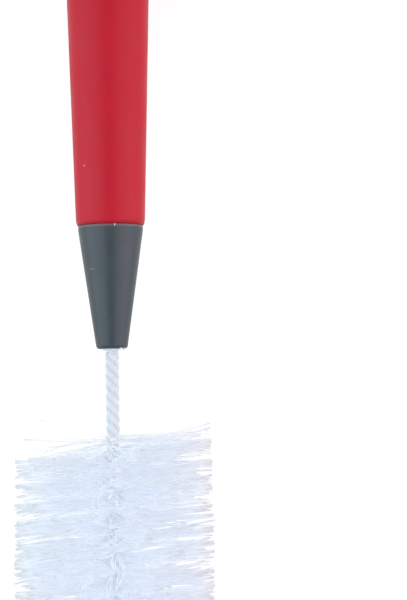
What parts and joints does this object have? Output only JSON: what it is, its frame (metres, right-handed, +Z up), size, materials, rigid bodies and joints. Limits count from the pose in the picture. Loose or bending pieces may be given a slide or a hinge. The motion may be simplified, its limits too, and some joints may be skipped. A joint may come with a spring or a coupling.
{
  "type": "bottle brush",
  "caption": "Bottle brush for cleaning flasks: tapered red handle with a hanging eye, grey conical ferrule, twisted coated wire stem and a round head of white filament.",
  "frame": {"origin": "under the centre of the brush's bounding box, on the surface that it lies on", "axes": "+Z up; +Y runs along the brush from the filament head towards the handle, whose end dips 4.4 degrees; +X across"},
  "size_m": [0.0546, 0.3383, 0.0619],
  "materials": {
    "handle": "satin",
    "ferrule": "satin",
    "wire": "satin plastic coating",
    "filament": "translucent nylon"
  },
  "bodies": {
    "root": {"handle": "handle", "ferrule": "ferrule", "stem_wire_a": "wire", "stem_wire_b": "wire", "filament_rows": "filament"}
  },
  "joints": []
}
